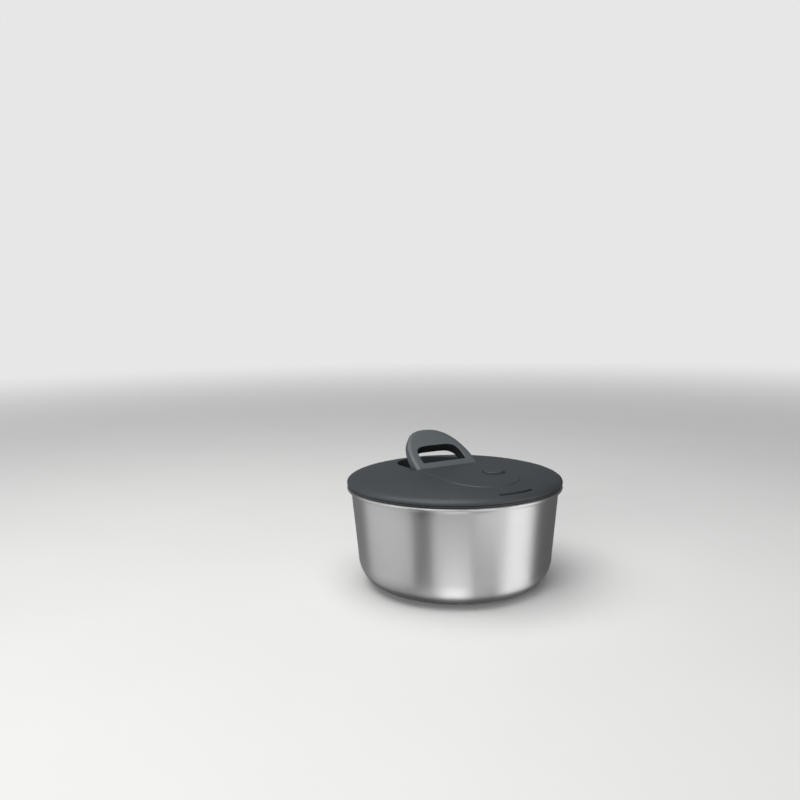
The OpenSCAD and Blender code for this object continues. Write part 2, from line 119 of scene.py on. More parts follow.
# Handle, in its own plane with the pin as origin
HANDLE_T = 10.3
HANDLE_W = 35.6          # half the outline's width
HANDLE_LOW = -3.17       # where the outline's arch starts
HANDLE_L = 57.1
HANDLE_POWER = 2.37
GRIP_W = 24.8            # half the finger opening's width
GRIP_LOW = 8.4           # its lower and upper edge, above the arch's start
GRIP_HIGH = 32
GRIP_POWER = 4.4
BARREL_R = HANDLE_T / 2  # crossbar round the pin
TOGGLE_R = 2.45
TOGGLE_HALF = 11.3
CORD_D = 1.8
DRUM_R = 15
DRUM_TURNS = 3.5


# ---------------------------------------------------------------- materials

def new_material(name, color, rough, metallic=0.0):
    """A node material with its Principled shader, ready for detail."""
    mat = bpy.data.materials.new(name)
    mat.use_nodes = True
    shader = mat.node_tree.nodes["Principled BSDF"]
    shader.inputs["Base Color"].default_value = (*color, 1)
    shader.inputs["Roughness"].default_value = rough
    shader.inputs["Metallic"].default_value = metallic
    return mat, mat.node_tree, shader


def noise(tree, scale, detail=3.0, rough=0.5, stretch=(1, 1, 1)):
    """A noise in object space: scale is in features per metre."""
    coords = tree.nodes.new("ShaderNodeTexCoord")
    mapping = tree.nodes.new("ShaderNodeMapping")
    mapping.inputs["Scale"].default_value = stretch
    texture = tree.nodes.new("ShaderNodeTexNoise")
    texture.inputs["Scale"].default_value = scale
    texture.inputs["Detail"].default_value = detail
    texture.inputs["Roughness"].default_value = rough
    tree.links.new(coords.outputs["Object"], mapping.inputs["Vector"])
    tree.links.new(mapping.outputs["Vector"], texture.inputs["Vector"])
    return texture.outputs["Fac"]


def spread(tree, source, low, high):
    """Maps the middle half of a 0 to 1 value to low to high."""
    ranged = tree.nodes.new("ShaderNodeMapRange")
    for key, value in (("From Min", 0.25), ("From Max", 0.75), ("To Min", low), ("To Max", high)):
        ranged.inputs[key].default_value = value
    tree.links.new(source, ranged.inputs["Value"])
    return ranged.outputs["Result"]


def vary(tree, shader, source, dark, light):
    """Base colour that drifts between two tones."""
    mix = tree.nodes.new("ShaderNodeMix")
    mix.data_type = "RGBA"
    mix.inputs["A"].default_value = (*dark, 1)
    mix.inputs["B"].default_value = (*light, 1)
    tree.links.new(spread(tree, source, 0, 1), mix.inputs["Factor"])
    tree.links.new(mix.outputs["Result"], shader.inputs["Base Color"])


def bump(tree, shader, height, strength, distance):
    bumped = tree.nodes.new("ShaderNodeBump")
    bumped.inputs["Strength"].default_value = strength
    bumped.inputs["Distance"].default_value = distance
    tree.links.new(height, bumped.inputs["Height"])
    tree.links.new(bumped.outputs["Normal"], shader.inputs["Normal"])


def plastic(name, color, rough, grain=0.3, drift=0.06, specular=0.5):
    """Moulded plastic: fine spark-eroded grain, faint drift in colour and gloss."""
    mat, tree, shader = new_material(name, color, rough)
    shader.inputs["Specular IOR Level"].default_value = specular
    vary(tree, shader, noise(tree, 40, 4), [c * (1 - drift) for c in color], [c * (1 + drift) for c in color])
    tree.links.new(spread(tree, noise(tree, 300, 2), rough - 0.03, rough + 0.04), shader.inputs["Roughness"])
    bump(tree, shader, noise(tree, 2400, 2), grain, 0.00003)
    return mat


def by_height(tree, low, high, value_low, value_high):
    """A value that changes smoothly between two heights, in millimetres, of object space."""
    coords = tree.nodes.new("ShaderNodeTexCoord")
    parts = tree.nodes.new("ShaderNodeSeparateXYZ")
    ranged = tree.nodes.new("ShaderNodeMapRange")
    ranged.interpolation_type = "SMOOTHSTEP"
    ranged.inputs["From Min"].default_value = low * MM
    ranged.inputs["From Max"].default_value = high * MM
    ranged.inputs["To Min"].default_value = value_low
    ranged.inputs["To Max"].default_value = value_high
    tree.links.new(coords.outputs["Object"], parts.inputs[0])
    tree.links.new(parts.outputs["Z"], ranged.inputs["Value"])
    return ranged.outputs["Result"]


def steel(name, color, rough, anisotropic, scratches=0.04, polished=None):
    """Steel finished round the Z axis: rings of fine scratches, reflections drawn out upright.

    Polished is (low, high, roughness): a smoother finish below these heights.
    """
    mat, tree, shader = new_material(name, color, rough, 1.0)
    rings = noise(tree, 45, 6, 0.7, (1, 1, 45))
    gloss = spread(tree, rings, rough - 0.03, rough + 0.03)
    if polished:
        share = tree.nodes.new("ShaderNodeMath")
        share.operation = "MULTIPLY"
        tree.links.new(gloss, share.inputs[0])
        tree.links.new(by_height(tree, polished[0], polished[1], polished[2] / rough, 1), share.inputs[1])
        gloss = share.outputs["Value"]
    tree.links.new(gloss, shader.inputs["Roughness"])
    vary(tree, shader, noise(tree, 14, 3), [c * 0.97 for c in color], color)
    shader.inputs["Anisotropic"].default_value = anisotropic
    shader.inputs["Anisotropic Rotation"].default_value = 0.25
    tangent = tree.nodes.new("ShaderNodeTangent")
    tangent.direction_type = "RADIAL"
    tangent.axis = "Z"
    tree.links.new(tangent.outputs["Tangent"], shader.inputs["Tangent"])
    bump(tree, shader, rings, scratches, 0.00002)
    return mat


def braid(name, color):
    """Braided cord: two crossing sets of slanted ridges and a fuzz of fibres."""
    mat, tree, shader = new_material(name, color, 0.85)
    shader.inputs["Sheen Weight"].default_value = 0.3
    ridges = []
    for slant in (1, -1):
        coords = tree.nodes.new("ShaderNodeTexCoord")
        mapping = tree.nodes.new("ShaderNodeMapping")
        mapping.inputs["Rotation"].default_value = (0.6, 0.3, slant * 0.9)
        wave = tree.nodes.new("ShaderNodeTexWave")
        wave.inputs["Scale"].default_value = 420
        tree.links.new(coords.outputs["Object"], mapping.inputs["Vector"])
        tree.links.new(mapping.outputs["Vector"], wave.inputs["Vector"])
        ridges.append(wave.outputs["Fac"])
    crossed = tree.nodes.new("ShaderNodeMath")
    crossed.operation = "MAXIMUM"
    tree.links.new(ridges[0], crossed.inputs[0])
    tree.links.new(ridges[1], crossed.inputs[1])
    bump(tree, shader, crossed.outputs["Value"], 0.8, 0.0002)
    vary(tree, shader, noise(tree, 2500, 2), [c * 0.6 for c in color], [c * 1.5 for c in color])
    return mat


BOWL_STEEL = steel("drawn_steel", (0.64, 0.64, 0.645), 0.42, 0.88, polished=(6, 20, 0.27))
TURNED = steel("turned_steel", (0.55, 0.55, 0.56), 0.3, 0.3)
SPRING = steel("spring_steel", (0.32, 0.33, 0.36), 0.32, 0.2)
BRONZE = steel("sintered_bronze", (0.55, 0.36, 0.16), 0.45, 0.0, 0.2)
LID = plastic("lid_grey", (0.036, 0.0425, 0.0465), 0.46, specular=0.4)
HANDLE = plastic("handle_grey", (0.076, 0.088, 0.095), 0.46)
DARK = plastic("dark_plastic", (0.025, 0.027, 0.03), 0.5)
BEARING = plastic("bearing_plastic", (0.3, 0.31, 0.32), 0.35)
MILKY = plastic("milky_plastic", (0.74, 0.76, 0.76), 0.34, 0.1, 0.03)
MILKY.node_tree.nodes["Principled BSDF"].inputs["Subsurface Weight"].default_value = 0.3
MILKY.node_tree.nodes["Principled BSDF"].inputs["Subsurface Scale"].default_value = 0.004
GEAR = plastic("gear_plastic", (0.74, 0.71, 0.62), 0.4, 0.15, 0.03)
PAWL = plastic("pawl_plastic", (0.62, 0.18, 0.03), 0.4)
SILICONE = plastic("silicone", (0.018, 0.02, 0.022), 0.62, 0.15, 0.1, 0.35)
# Painted shade: a near-black material that stands in for the shade inside the handle's finger opening.
GRIP_SHADE_PAINT = plastic("grip_painted_shade", (0.012, 0.0125, 0.014), 0.7, 0.4, 0.1, 0.25)
RUBBER = plastic("rubber", (0.015, 0.015, 0.016), 0.8, 0.5, 0.1, 0.3)
CORD = braid("cord_black", (0.03, 0.031, 0.034))

FINISH = {
    "steel": BOWL_STEEL, "lid_plastic": LID, "handle_plastic": HANDLE, "basket_plastic": MILKY,
    "dark_plastic": DARK, "bearing_plastic": BEARING, "gear_plastic": GEAR, "pawl_plastic": PAWL,
    "silicone": SILICONE, "rubber": RUBBER, "cord": CORD, "metal_parts": TURNED,
    "spring_steel": SPRING, "bronze": BRONZE,
}
SLOT_OF = {part["node"]: part["material_slot"] for part in frame["record"]["subparts"]}


def finish_cad_nodes():
    """Every CAD node gets its finish and softened edges."""
    for name, slot_name in SLOT_OF.items():
        obj = frame["nodes"][name]
        obj.data.materials.clear()
        obj.data.materials.append(FINISH[slot_name])
        edges = obj.modifiers.new("soft_edges", "BEVEL")
        edges.width = 0.15 * MM if slot_name in ("metal_parts", "spring_steel") else 0.3 * MM
        edges.segments = 2
        edges.limit_method = "ANGLE"
        edges.angle_limit = math.radians(40)
        edges.harden_normals = True


finish_cad_nodes()


# ---------------------------------------------------------------- meshes

def add_piece(name, verts, faces, finish, body, *replaced, smooth_below=40):
    """A piece from millimetre vertices that rides on a body and stands for CAD nodes."""
    mesh = bpy.data.meshes.new(name)
    mesh.from_pydata([tuple(c * MM for c in v) for v in verts], [], [tuple(f) for f in faces])
    mesh.validate()
    piece = bpy.data.objects.new(name, mesh)
    scene.collection.objects.link(piece)
    mesh.materials.append(FINISH[finish])
    soften(piece, smooth_below)
    if body:
        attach(piece, body)
    if replaced:
        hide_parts(*replaced)
    return piece


def soften(piece, smooth_below):
    """Smooth shading, with sharp edges only where faces meet more steeply than this."""
    piece.data.shade_smooth()
    piece.data.set_sharp_from_angle(angle=math.radians(smooth_below))
    weighted = piece.modifiers.new("weighted", "WEIGHTED_NORMAL")
    weighted.keep_sharp = True


def turn(profile, segments=192, centre=(0, 0)):
    """A closed (radius, height) outline turned round an upright axis."""
    count = len(profile)
    verts = []
    for s in range(segments):
        a = 2 * math.pi * s / segments
        verts += [(centre[0] + r * math.cos(a), centre[1] + r * math.sin(a), z) for r, z in profile]
    faces = []
    for s in range(segments):
        here, after = s * count, (s + 1) % segments * count
        for i in range(count):
            j = (i + 1) % count
            on_axis = [abs(profile[k][0]) < 1e-6 for k in (i, j)]
            if all(on_axis):
                continue
            face = [here + i, after + i, after + j, here + j]
            if on_axis[0]:
                face = [here + i, after + j, here + j]
            if on_axis[1]:
                face = [here + i, after + i, here + j]
            faces.append(face)
    return merge(verts, faces)


def merge(verts, faces):
    """Joins vertices that share a place, and drops faces that collapse."""
    index, places, swap = {}, [], []
    for v in verts:
        key = tuple(round(c, 5) for c in v)
        if key not in index:
            index[key] = len(places)
            places.append(v)
        swap.append(index[key])
    kept = []
    for face in faces:
        ring = [swap[i] for i in face]
        ring = [v for k, v in enumerate(ring) if v != ring[k - 1]]
        if len(set(ring)) == len(ring) >= 3:
            kept.append(ring)
    return places, kept


def arc(cx, cy, rx, ry, start, end, steps):
    """Points on an ellipse's arc, angles in degrees."""
    angles = np.radians(np.linspace(start, end, steps + 1))
    return [(cx + rx * math.cos(a), cy + ry * math.sin(a)) for a in angles]


def tube(path, radius, sides=16, closed_ends=True):
    """A round tube along a path of points, without twist."""
    path = [Vector(p) for p in path]
    normal = Vector((0, 0, 1))
    verts = []
    for i, here in enumerate(path):
        along = (path[min(i + 1, len(path) - 1)] - path[max(i - 1, 0)]).normalized()
        normal = (normal - along * normal.dot(along)).normalized()
        side = along.cross(normal)
        verts += [
            here + radius * (math.cos(a) * normal + math.sin(a) * side)
            for a in np.linspace(0, 2 * math.pi, sides, endpoint=False)
        ]
    faces = [
        (i * sides + k, i * sides + (k + 1) % sides, (i + 1) * sides + (k + 1) % sides, (i + 1) * sides + k)
        for i in range(len(path) - 1) for k in range(sides)
    ]
    if closed_ends:
        last = (len(path) - 1) * sides
        faces.append(tuple(reversed(range(sides))))
        faces.append(tuple(range(last, last + sides)))
    return verts, faces


def inside(points, outline):
    """Which of the points lie inside a closed outline."""
    x, y = points[:, 0, None], points[:, 1, None]
    a = np.array(outline)
    b = np.roll(a, -1, axis=0)
    crosses = (a[:, 1] > y) != (b[:, 1] > y)
    rise = np.where(b[:, 1] == a[:, 1], 1e-12, b[:, 1] - a[:, 1])
    return (crosses & (x < a[:, 0] + (y - a[:, 1]) * (b[:, 0] - a[:, 0]) / rise)).sum(axis=1) % 2 == 1


def depth(points, outline):
    """Distance to a closed outline, positive inside it."""
    a = np.array(outline)
    run = np.roll(a, -1, axis=0) - a
    to = points[:, None, :] - a
    t = np.clip((to * run).sum(axis=2) / (run ** 2).sum(axis=1), 0, 1)
    away = np.sqrt(((to - t[:, :, None] * run) ** 2).sum(axis=2).min(axis=1))
    return np.where(inside(points, outline), away, -away)


def evenly(outline, spacing):
    """The same closed outline with evenly spaced points."""
    a = np.array(list(outline) + [outline[0]], float)
    length = np.concatenate([[0], np.cumsum(np.hypot(*np.diff(a, axis=0).T))])
    count = max(8, round(length[-1] / spacing))
    at = np.linspace(0, length[-1], count, endpoint=False)
    return np.column_stack([np.interp(at, length, a[:, k]) for k in (0, 1)])


def grown(outline, distance):
    """A counter-clockwise outline moved outward by a distance."""
    a = np.array(outline)
    run = np.roll(a, -1, axis=0) - np.roll(a, 1, axis=0)
    normal = np.column_stack([run[:, 1], -run[:, 0]]) / np.hypot(*run.T)[:, None]
    return a + distance * normal


def slab(boundary, holes, guides, dots, top, bottom):
    """A closed solid over a plane region, between the heights top(points) and bottom(points).

    Guides are closed lines that the mesh's edges follow, and dots are loose vertices between them.
    """
    loops = [boundary, *holes, *guides]
    coords, edges = [], []
    for loop in loops:
        first = len(coords)
        coords += [Vector(p) for p in loop]
        edges += [(first + i, first + (i + 1) % len(loop)) for i in range(len(loop))]
    tree = KDTree(len(coords))
    for i, p in enumerate(coords):
        tree.insert((*p, 0), i)
    tree.balance()
    coords += [Vector(p) for p in dots if tree.find((*p, 0))[2] > 1.1]
    plane, _, triangles, *_ = delaunay_2d_cdt(coords, edges, [], 0, 1e-4)
    xy = np.array([tuple(p) for p in plane])
    triangles = np.array(triangles)
    middles = xy[triangles].mean(axis=1)
    kept = inside(middles, boundary)
    for hole in holes:
        kept &= ~inside(middles, hole)
    triangles = triangles[kept]
    count = len(xy)
    verts = [(x, y, z) for (x, y), z in zip(xy, top(xy))] + [(x, y, z) for (x, y), z in zip(xy, bottom(xy))]
    faces = [tuple(t) for t in triangles] + [(a + count, c + count, b + count) for a, b, c in triangles]
    sides = {(t[k], t[(k + 1) % 3]) for t in triangles.tolist() for k in range(3)}
    faces += [(b, a, a + count, b + count) for a, b in sides if (b, a) not in sides]
    used = sorted({i for f in faces for i in f})
    place = {old: new for new, old in enumerate(used)}
    return merge([verts[i] for i in used], [[place[i] for i in f] for f in faces])


def round_over(d, radius):
    """How far a rounded edge has dropped, at distance d in from where it ends."""
    d = np.clip(d, 0, radius)
    return radius - np.sqrt(radius ** 2 - (radius - d) ** 2)


def box_mesh(low, high):
    corners = [(x, y, z) for x in (low[0], high[0]) for y in (low[1], high[1]) for z in (low[2], high[2])]
    return corners, [(0, 1, 3, 2), (4, 6, 7, 5), (0, 4, 5, 1), (2, 3, 7, 6), (0, 2, 6, 4), (1, 5, 7, 3)]


def carve(piece, *cutters):
    """Cuts closed meshes, given in millimetres, out of a piece."""
    made = []
    for i, (verts, faces) in enumerate(cutters):
        mesh = bpy.data.meshes.new("cutter")
        mesh.from_pydata([tuple(c * MM for c in v) for v in verts], [], faces)
        tool = bpy.data.objects.new("cutter", mesh)
        scene.collection.objects.link(tool)
        made.append(tool)
        cut = piece.modifiers.new("cut", "BOOLEAN")
        cut.object = tool
        cut.solver = "EXACT"
        while piece.modifiers[0] != cut:
            bpy.context.view_layer.objects.active = piece
            piece.modifiers.move(piece.modifiers.find(cut.name), 0)
    for modifier in [m for m in piece.modifiers if m.type == "WEIGHTED_NORMAL"]:
        piece.modifiers.remove(modifier)
    bpy.context.view_layer.update()
    shape = piece.evaluated_get(bpy.context.evaluated_depsgraph_get())
    piece.data = bpy.data.meshes.new_from_object(shape)
    piece.modifiers.clear()
    for tool in made:
        bpy.data.objects.remove(tool)
    soften(piece, 40)


# ---------------------------------------------------------------- bowl

def make_bowl():
    """Drawn bowl with a curled rim, one skin of even thickness."""
    t, bead = 0.8, 1.6
    wall_top, wall_low = 101.9, 95.9
    corner_w, corner_h = 24.6, 27.4
    corner = (wall_low - corner_w, FOOT_H + corner_h)
    curl = (RIM_R - bead, RIM_Z - bead)
    outer = [(0, FOOT_H), (30, FOOT_H)] + arc(*corner, corner_w, corner_h, 270, 360, 32)
    flare = RIM_Z - 6
    rise = (flare - corner[1]) / 8
    wall = [(wall_low + (wall_top - wall_low) * k / 8, corner[1] + rise * k) for k in range(1, 9)]
    wall += [(wall_top + out, flare + up) for out, up in ((0.15, 1), (0.5, 2.1), (1.05, 3.1), (1.5, 3.8))]
    inner_curl = arc(*curl, bead - t, bead - t, 180, -118, 16)
    outer_curl = arc(*curl, bead, bead, -118, 180, 24)
    inner_wall = [(r - t, z) for r, z in reversed(wall)]
    inner = arc(*corner, corner_w - t, corner_h - t, 360, 270, 32) + [(30, FOOT_H + t), (0, FOOT_H + t)]
    profile = outer + wall + inner_curl + outer_curl + inner_wall + inner
    verts, faces = turn(profile, 256)
    return add_piece("bowl_skin", verts, faces, "steel", "bowl", "bowl", smooth_below=50)


make_bowl()


# ---------------------------------------------------------------- lid cover

def dome(r):
    return CREASE_Z + DOME_RISE * (1 - (np.minimum(r, CREASE_R) / CREASE_R) ** DOME_POWER)


def cover_skin(xy):
    """Outer surface without holes: dome, sloping edge and raised tongue."""
    x, y = xy.T
    r = np.hypot(x, y)
    out = np.clip((r - CREASE_R) / (RIM_R - CREASE_R), 0, 1)
    low = LIP_Z + LIP_H
    edge = low + (CREASE_Z - low) * np.sqrt(np.maximum(1 - out ** EDGE_POWER, 0))
    z = np.where(r < CREASE_R, dome(r), edge)
    across = np.where(y < TONGUE_END_Y, np.hypot(x, y - TONGUE_END_Y), np.abs(x))
    riser = np.clip((TONGUE_W - across) / RISER_W, 0, 1)
    shoulder = np.clip((TONGUE_W - across) / STEP_W, 0, 1)
    beside = np.clip(1 - (y - CHORD_Y) / POCKET_CORNER, 0, 1)
    steep = riser * riser * (3 - 2 * riser)
    rounded = np.sqrt(1 - (1 - shoulder) ** 2)
    return z + TONGUE_STEP * beside * (RISER_SHARE * steep + (1 - RISER_SHARE) * rounded)


def pocket_outline():
    c = POCKET_CORNER
    corner_x, corner_y = TONGUE_W - c, CHORD_Y + c
    outline = arc(corner_x, corner_y, c, c, 270, 360, 8)
    outline += arc(0, POCKET_END_Y, TONGUE_W, TONGUE_W, 0, 180, 80)
    outline += arc(-corner_x, corner_y, c, c, 180, 270, 8)
    return evenly(outline, 1.2)


def tongue_outline(inset):
    w = TONGUE_W - inset
    outline = [(w, CHORD_Y + 12), (-w, CHORD_Y + 12)] + arc(0, TONGUE_END_Y, w, w, 180, 360, 80)
    return evenly(outline, 1.4)


def slot_outline(grow):
    """Rounded slot that follows the rim."""
    half = math.radians(SLOT_HALF_ANGLE) * SLOT_R + grow
    w = SLOT_HALF_W + grow
    c = min(w, 1.2 + grow)
    flat = []
    for sx, sy, start in ((1, -1, 270), (1, 1, 0), (-1, 1, 90), (-1, -1, 180)):
        flat += arc(sx * (half - c), sy * (w - c), c, c, start, start + 90, 5)
    flat = evenly(flat, 0.9)
    angles = math.radians(SLOT_TURN - 90) + flat[:, 0] / SLOT_R
    radii = SLOT_R + flat[:, 1]
    return np.column_stack([radii * np.cos(angles), radii * np.sin(angles)])[::-1]


def ring_points(r, count, centre=(0, 0)):
    angles = [2 * math.pi * i / count for i in range(count)]
    return [(centre[0] + r * math.cos(a), centre[1] + r * math.sin(a)) for a in angles]


def make_cover():
    """Top cover: one shell with the tongue, the handle's pocket, the button hole and the drain slot."""
    pocket, slot = pocket_outline(), slot_outline(0)
    button_at, hole_r = (BUTTON.x, BUTTON.y), BUTTON_HOLE_R
    hole_edge, slot_edge = 0.5, 0.6

    def top(xy):
        z = cover_skin(xy)
        z = z - round_over(np.hypot(xy[:, 0] - button_at[0], xy[:, 1] - button_at[1]) - hole_r, hole_edge)
        z = z - round_over(-depth(xy, slot), slot_edge)
        d = depth(xy, pocket)
        lip = z - round_over(-d, POCKET_EDGE)
        foot = POCKET_FLOOR + FLOOR_FILLET
        wall = lip + (foot - lip) * np.clip(d / DRAFT, 0, 1)
        bed = POCKET_FLOOR + round_over(d - DRAFT, FLOOR_FILLET)
        return np.where(d < DRAFT, np.where(d <= 0, lip, wall), bed)

    def bottom(xy):
        r = np.hypot(*xy.T)
        under = dome(r) - COVER_T
        z = under + (LIP_Z - under) * np.clip((r - CREASE_R + 0.4) / 0.8, 0, 1)
        t = np.clip((depth(xy, pocket) + POCKET_T) / DRAFT, 0, 1)
        return z + (POCKET_FLOOR - POCKET_T - z) * t

    steps = np.sin(np.radians([0, 18, 36, 54, 72, 90]))
    edge_radii = [RIM_R - d for d in (0.03, 0.15, 0.4, 0.8, 1.4, 2.2, 3.2, 4.5, 5.8)]
    guides = [ring_points(r, 288) for r in edge_radii + [CREASE_R, CREASE_R - 0.4]]
    guides += [tongue_outline(STEP_W * t) for t in (0, 0.03, 0.07, 0.12, 0.16, 0.19, 0.27, 0.4, 0.6, 0.8, 1)]
    guides += [grown(pocket, POCKET_EDGE * s) for s in 1 - steps]
    guides += [grown(pocket, POCKET_T), grown(pocket, POCKET_T - DRAFT)]
    guides += [grown(pocket, -DRAFT - FLOOR_FILLET * s) for s in 1 - steps[::-1]]
    guides += [ring_points(hole_r + d, 72, button_at) for d in (0.04, 0.14, 0.3, 0.5, 1.4)]
    guides += [slot_outline(d) for d in (0.06, 0.2, 0.6)]
    dots = [p for k in range(1, 33) for p in ring_points(3 * k, max(8, round(2 * math.pi * k)))]
    holes = [ring_points(hole_r, 72, button_at), slot]
    verts, faces = slab(ring_points(RIM_R, 288), holes, guides, dots, top, bottom)
    verts = [(x, y, z + RIM_Z) for x, y, z in verts]
    cover = add_piece("cover_shell", verts, faces, "lid_plastic", "lid", "top_cover")
    hole, caps = tube([(0, EYELET.y + d, EYELET.z) for d in (4, -4)], 4.35, 40)
    carve(cover, (hole, caps))
    return cover


make_cover()


# ---------------------------------------------------------------- handle and button

def super_arch(w, low, high, power, steps):
    points = []
    for a in np.radians(np.linspace(0, 180, steps + 1)):
        x = w * np.sign(math.cos(a)) * abs(math.cos(a)) ** (2 / power)
        points.append((x, low + (high - low) * math.sin(a) ** (2 / power)))
    return points


def make_handle():
    """Loop handle: pillowed limbs round the finger opening, and a round crossbar on the pin."""
    outer_round, inner_round, end_round = 4.7, 0.9, 1.8
    crown = 2.0
    arch = super_arch(HANDLE_W, HANDLE_LOW, HANDLE_LOW + HANDLE_L, HANDLE_POWER, 240)
    arch = [p for p in arch if p[1] >= 0]
    low = arc(-HANDLE_W + end_round, -BARREL_R + end_round, end_round, end_round, 180, 270, 6)
    low += arc(HANDLE_W - end_round, -BARREL_R + end_round, end_round, end_round, 270, 360, 6)
    outline = evenly(arch + low, 1.1)
    grip = evenly(super_arch(GRIP_W, HANDLE_LOW + GRIP_LOW, HANDLE_LOW + GRIP_HIGH, GRIP_POWER, 160), 1.1)
    sides = arch + [(-HANDLE_W, -30), (HANDLE_W, -30)]

    def height(xy):
        out = np.clip(depth(xy, sides), 0, outer_round) / outer_round
        half = BARREL_R - crown * (1 - np.sqrt(1 - (1 - out) ** 2))
        half = half - round_over(-depth(xy, grip), inner_round)
        barrel = np.sqrt(np.maximum(BARREL_R ** 2 - np.minimum(xy[:, 1], 0) ** 2, 0))
        return np.minimum(half, barrel)

    def below(xy):
        return -height(xy)

    fractions = 1 - np.sin(np.radians([12, 26, 40, 55, 72, 90]))
    guides = [grown(outline, -outer_round * f) for f in fractions[:-1]] + [grown(outline, -outer_round)]
    guides += [grown(grip, inner_round * f) for f in (0.05, 0.2, 0.45, 0.75, 1)]
    rows = [-5.1, -4.9, -4.5, -3.9, -3.1, -2.1, -1.1, 0]
    dots = [(x, y) for y in rows for x in np.arange(-30, 30.1, 2)]
    dots += [(x, y) for x in np.arange(-32, 32.1, 2.2) for y in np.arange(2, 52, 2.2)]
    dots = [p for p, keep in zip(dots, inside(np.array(dots), outline)) if keep]
    verts, faces = slab(outline, [grip], guides, dots, height, below)
    lean = Matrix((Vector((1, 0, 0)), PULL, Vector((1, 0, 0)).cross(PULL))).transposed()

    def place(points):
        return [PIN + lean @ Vector(p) for p in points]

    handle = add_piece("handle_loop", place(verts), faces, "handle_plastic", "handle", "pull_handle")
    bore, bore_faces = tube([(-TOGGLE_HALF, 0, 0), (TOGGLE_HALF, 0, 0)], TOGGLE_R, 32)
    channel = box_mesh((-TOGGLE_HALF, -TOGGLE_R, -HANDLE_T), (TOGGLE_HALF, TOGGLE_R, 0))
    half = CORD_D / 2 + 0.2
    swing = box_mesh((-half, -HANDLE_T, -HANDLE_T), (half, 0, 0.01))
    raised = box_mesh((-half, -HANDLE_T, 0), (half, -2.3, HANDLE_T))
    cuts = [(place(mesh[0]), mesh[1]) for mesh in (channel, swing, raised)]
    carve(handle, (place(bore), bore_faces), *cuts)
    # Paints shade on the inner wall of the finger opening.
    paint_grip_shade(handle, lean, grip)
    return handle


def paint_grip_shade(handle, lean, grip):
    """Painted shade: a near-black material on the inner wall of the finger opening, where shade falls."""
    mesh = handle.data
    mesh.materials.append(GRIP_SHADE_PAINT)
    for face in mesh.polygons:
        x, y, z = lean.transposed() @ (face.center / MM - PIN)
        normal = lean.transposed() @ face.normal
        on_wall = abs(normal.z) < 0.5 and abs(z) < BARREL_R and abs(depth(np.array([(x, y)]), grip)[0]) < 0.5
        if on_wall:
            face.material_index = len(mesh.materials) - 1


make_handle()


def make_button():
    """Brake button: a shallow dish inside a rounded edge."""
    r, top, low = 10.5, BUTTON_TOP, RIM_Z + 10.6
    profile = [(0, top - 0.35), (3, top - 0.33), (5.5, top - 0.2), (7.2, top - 0.05), (8.2, top)]
    profile += arc(r - 1.5, top - 1.5, 1.5, 1.5, 80, 0, 6)
    profile += [(r, low + 1.6)] + arc(r + 1.2, low + 1.1, 0.3, 0.3, 90, 0, 3) + [(r + 1.5, low), (3, low)]
    profile += [(3, RIM_Z - 10), (0, RIM_Z - 10)]
    verts, faces = turn(profile, 96, (BUTTON.x, BUTTON.y))
    button = add_piece("button_cap", verts, faces, "handle_plastic", "button", "brake_button")
    button.data.materials[0] = LID
    return button


make_button()


# ---------------------------------------------------------------- cord and springs

def make_cords():
    """The lead from the drum to the toggle, and the turns on the drum, which start at height z."""
    z = RIM_Z + 2.8
    bend = EYELET - Vector((0, 1.8, 1.8 * PULL.z / PULL.y))
    knots = [Vector((0, SPOOL.y + 0.5, z)), bend, PIN - PULL * (TOGGLE_R + 0.05)]
    path = [knots[0].lerp(knots[1], t) for t in np.linspace(0, 0.97, 50)]
    path += [bend + (knots[2] - bend) * t for t in np.linspace(0.03, 1, 40)]
    verts, faces = tube(path, CORD_D / 2, 20)
    lead = add_piece("cord_lead", verts, faces, "cord", None, "pull_cord", smooth_below=60)
    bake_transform(lead)

    radius, per_turn = DRUM_R + CORD_D / 2, 48
    steps = int(DRUM_TURNS * per_turn)
    low = RIM_Z - 4.2 + CORD_D / 2
    coil = []
    for i in range(steps + 1):
        a = -2 * math.pi * i / per_turn
        height = z + (low - z) * i / steps
        coil.append((SPOOL.x + radius * math.cos(a), SPOOL.y + radius * math.sin(a), height))
    verts, faces = tube(coil, CORD_D / 2, 14)
    add_piece("cord_turns", verts, faces, "cord", "spool", "cord_coil", smooth_below=60)


make_cords()


def make_brake_spring():
    """Return spring of the button, drawn as a fixed coil on the lid; it doesn't shorten as the button goes
    down.
    """
    low, high = (corner.z for corner in size_mm("brake_spring"))
    wire, radius, turns = 0.45, 4.7, 6
    steps = turns * 36
    path = []
    for i in range(steps + 1):
        a = 2 * math.pi * turns * i / steps
        path.append((
            BUTTON.x + radius * math.cos(a), BUTTON.y + radius * math.sin(a),
            low + wire + (high - low - 2 * wire) * i / steps,
        ))
    verts, faces = tube(path, wire, 10)
    spring = add_piece("button_spring", verts, faces, "spring_steel", "lid", "brake_spring", smooth_below=60)
    spring.modifiers.clear()
    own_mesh(spring)


make_brake_spring()


# ---------------------------------------------------------------- camera

VIEW_AZIMUTH = math.radians(-32.95)


def make_camera():
    """The photograph's view, from the front left and a little above the lid."""
    data = bpy.data.cameras.new("camera")
    data.sensor_width = 36
    data.lens = 36.89
    camera = bpy.data.objects.new("camera", data)
    scene.collection.objects.link(camera)
    back = Vector((math.sin(VIEW_AZIMUTH), -math.cos(VIEW_AZIMUTH), 0))
    right = Vector((math.cos(VIEW_AZIMUTH), math.sin(VIEW_AZIMUTH), 0))
    camera.location = 0.8 * back + Vector((0, 0, 0.2798))
    level = Matrix((right, Vector((0, 0, 1)), back)).transposed().to_quaternion()
    turned = Quaternion((0, 1, 0), math.radians(3.763))
    tipped = Quaternion((1, 0, 0), math.radians(-7.006))
    rolled = Quaternion((0, 0, 1), math.radians(-0.838))
    camera.rotation_mode = "QUATERNION"
    camera.rotation_quaternion = level @ turned @ tipped @ rolled
    scene.camera = camera


make_camera()


# ---------------------------------------------------------------- studio

